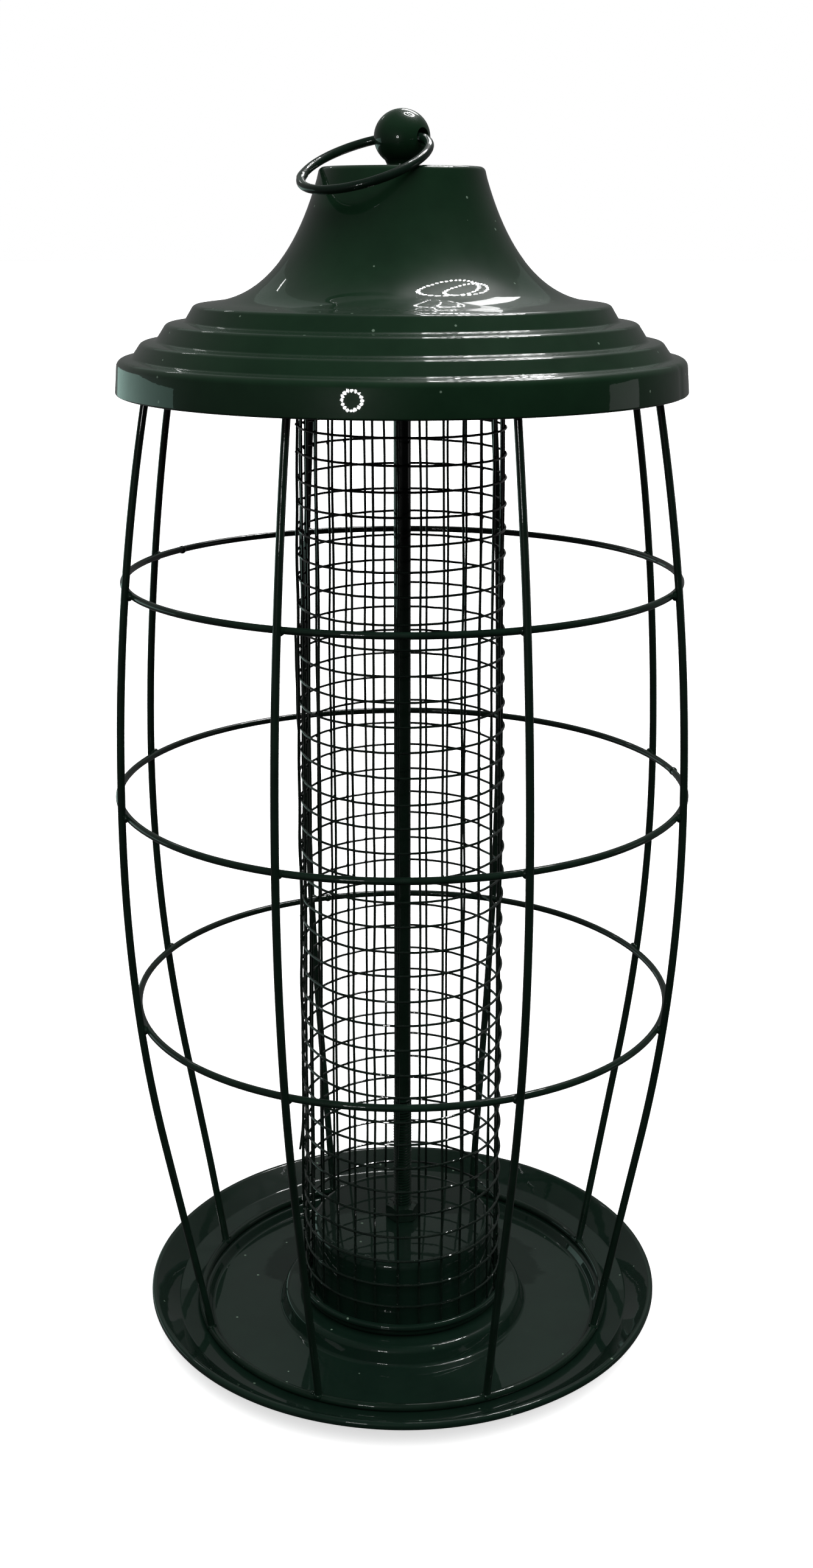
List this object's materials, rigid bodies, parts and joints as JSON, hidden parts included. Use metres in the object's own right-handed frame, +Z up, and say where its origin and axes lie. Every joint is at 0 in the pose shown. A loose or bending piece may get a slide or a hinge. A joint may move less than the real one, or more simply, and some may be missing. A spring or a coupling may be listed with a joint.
{
  "type": "hanging bird feeder",
  "caption": "Caged hanging bird feeder: wire mesh tube on a central rod inside a bulging wire cage, between a round seed tray and a stepped bell roof with a ball knob and ring.",
  "frame": {"origin": "centre of the tray's underside, where the feeder stands on a table", "axes": "+Z up along the tie rod, +X to the right and -Y towards the side seen from the front"},
  "size_m": [0.152, 0.152, 0.3276],
  "materials": {
    "sheet_paint": "gloss",
    "wire_paint": "gloss",
    "dark_fastener": "satin"
  },
  "bodies": {
    "feeder": {"tray": "sheet_paint", "tray_washer": "dark_fastener", "tray_nut": "dark_fastener", "tie_rod": "wire_paint", "tube_base": "sheet_paint", "base_nut": "dark_fastener", "mesh_upright_wires": "wire_paint", "mesh_ring_wires": "wire_paint", "mesh_seam_wires": "wire_paint", "tube_top_collar": "sheet_paint", "cage_bottom_ring": "wire_paint", "cage_lower_hoop": "wire_paint", "cage_middle_hoop": "wire_paint", "cage_upper_hoop": "wire_paint", "cage_top_ring": "wire_paint", "cage_rib_1": "wire_paint", "cage_rib_2": "wire_paint", "cage_rib_3": "wire_paint", "cage_rib_4": "wire_paint", "cage_rib_5": "wire_paint", "cage_rib_6": "wire_paint", "cage_rib_7": "wire_paint", "cage_rib_8": "wire_paint"},
    "roof": {"roof": "sheet_paint"},
    "knob": {"ball_knob": "sheet_paint"},
    "ring": {"hanging_ring": "wire_paint"}
  },
  "joints": [
    {"name": "roof_lift", "type": "slide", "parent": "feeder", "child": "roof", "axis": [0, 0, 1], "range_m": [0, 0.075]},
    {"name": "knob_turn", "type": "hinge", "parent": "roof", "child": "knob", "pos_m": [0, 0, 0.32044], "axis": [0, 0, 1], "continuous": true},
    {"name": "ring_swing", "type": "hinge", "parent": "knob", "child": "ring", "pos_m": [0, 0, 0.32044], "axis": [-0.7672, 0.6414, 0], "range_deg": [0, 228.4]}
  ]
}
